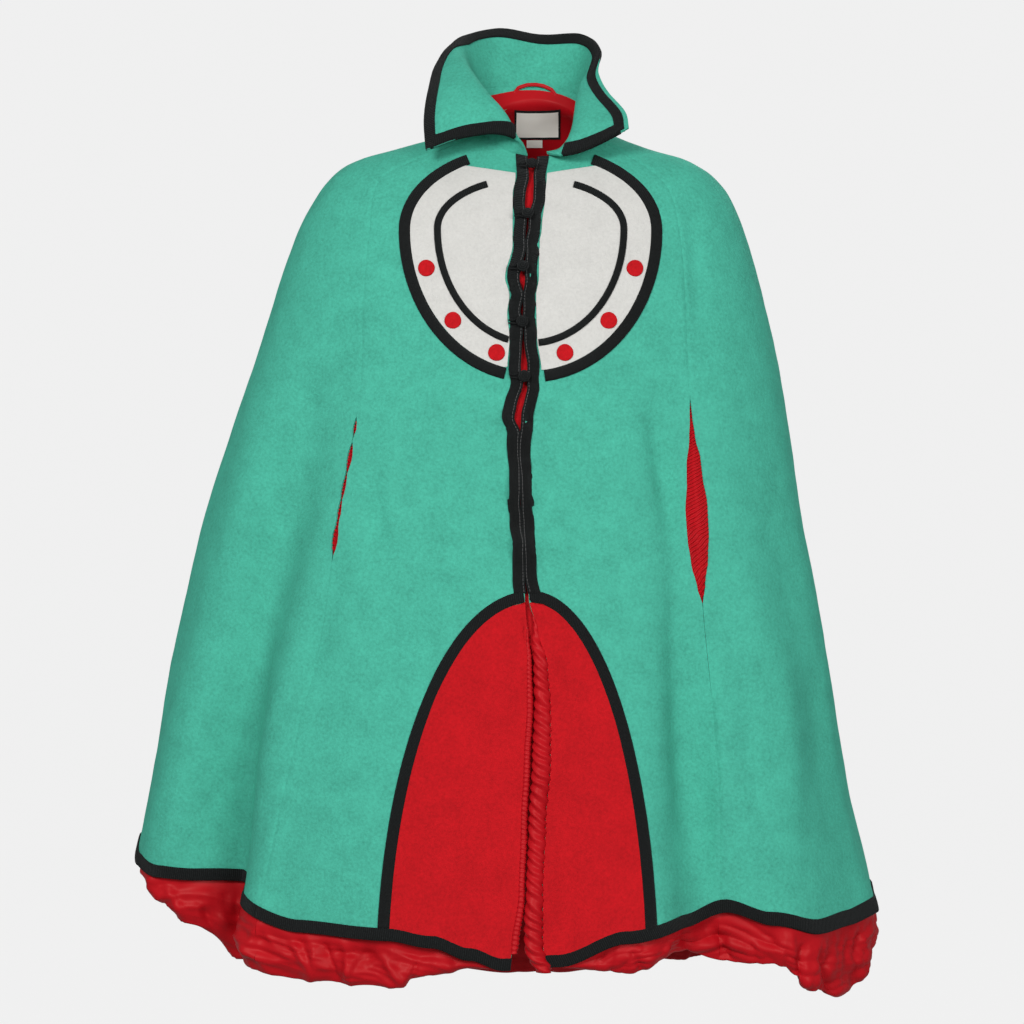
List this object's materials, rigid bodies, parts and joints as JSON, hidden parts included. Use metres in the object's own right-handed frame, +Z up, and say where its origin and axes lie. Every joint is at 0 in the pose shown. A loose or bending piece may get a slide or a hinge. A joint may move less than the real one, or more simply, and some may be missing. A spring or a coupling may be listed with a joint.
{
  "type": "wool cape",
  "caption": "Flared wool cape with a pointed spread collar, a buttoned front edged with braid, arm slits, and a satin lining that hangs in a soft pouch below its hem.",
  "frame": {"origin": "middle of the neck opening at the height of its sides, where a form or a wearer's neck holds the cape", "axes": "+Z up along the neck, -Y out of the buttoned front, -X to the wearer's right"},
  "size_m": [0.7718, 0.469, 1.0371],
  "materials": {
    "green_wool": "felted",
    "black_felt": "felted",
    "white_felt": "felted",
    "red_felt": "felted",
    "red_satin": "satin",
    "label_weave": "matt"
  },
  "bodies": {
    "root": {"back": "green_wool", "bib_braid_left": "black_felt", "bib_braid_right": "black_felt", "bib_left": "white_felt", "bib_line_left": "black_felt", "bib_line_right": "black_felt", "bib_right": "white_felt", "button_1": "black_felt", "button_2": "black_felt", "button_3": "black_felt", "button_4": "black_felt", "button_5": "black_felt", "button_loop_1": "black_felt", "button_loop_2": "black_felt", "button_loop_3": "black_felt", "button_loop_4": "black_felt", "button_loop_5": "black_felt", "collar_braid": "black_felt", "collar_leaf": "green_wool", "collar_stand": "green_wool", "corner_braid_left": "black_felt", "corner_braid_right": "black_felt", "corner_patch_left": "red_felt", "corner_patch_right": "red_felt", "edge_roll_left": "red_satin", "edge_roll_right": "red_satin", "front_braid_left": "black_felt", "front_braid_right": "black_felt", "front_left": "green_wool", "front_right": "green_wool", "front_shield": "red_satin", "hanger_loop": "red_satin", "hem_braid_back": "black_felt", "hem_braid_front_left": "black_felt", "hem_braid_front_right": "black_felt", "hem_braid_side_left": "black_felt", "hem_braid_side_right": "black_felt", "lining_back": "red_satin", "lining_front_left": "red_satin", "lining_front_right": "red_satin", "lining_side_left": "red_satin", "lining_side_right": "red_satin", "neck_label": "label_weave", "side_left": "green_wool", "side_right": "green_wool", "size_tab": "label_weave", "slit_facing_left_front": "red_satin", "slit_facing_left_side": "red_satin", "slit_facing_right_front": "red_satin", "slit_facing_right_side": "red_satin", "spot_left_1": "red_felt", "spot_left_2": "red_felt", "spot_left_3": "red_felt", "spot_right_1": "red_felt", "spot_right_2": "red_felt", "spot_right_3": "red_felt"}
  },
  "joints": []
}
